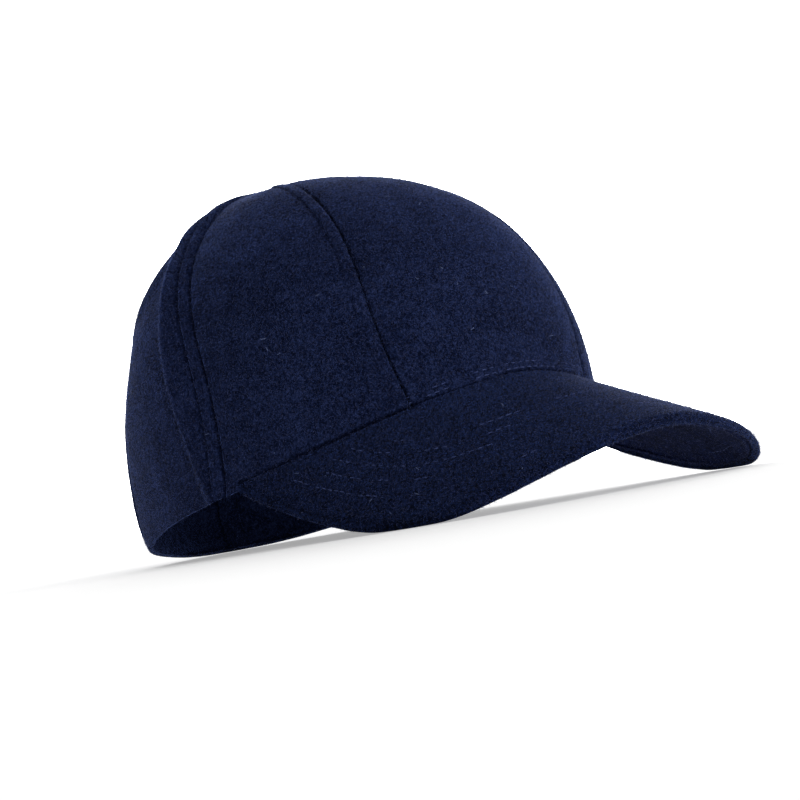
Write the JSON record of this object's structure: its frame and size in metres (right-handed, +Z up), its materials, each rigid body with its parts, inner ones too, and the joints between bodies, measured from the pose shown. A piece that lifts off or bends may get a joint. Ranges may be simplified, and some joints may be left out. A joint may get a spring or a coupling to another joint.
{
  "type": "cricket cap",
  "caption": "Soft wool cap with a rounded crown of sewn panels and an arched peak that shades the eyes.",
  "frame": {"origin": "under the middle of the cap's bounding box, on the surface that the cap rests on", "axes": "+Z up, the peak towards -Y, the wearer's left towards +X"},
  "size_m": [0.1742, 0.272, 0.1377],
  "materials": {
    "crown_wool": "felted navy wool, matt with a soft nap",
    "peak_wool": "felted navy wool, matt with a soft nap",
    "underside_wool": "felted navy wool, matt, a little smoother"
  },
  "bodies": {
    "root": {"front_panel": "crown_wool", "right_front_panel": "crown_wool", "left_front_panel": "crown_wool", "right_side_panel": "crown_wool", "left_side_panel": "crown_wool", "right_back_panel": "crown_wool", "left_back_panel": "crown_wool", "peak_top": "peak_wool", "peak_underside": "underside_wool"}
  },
  "joints": []
}
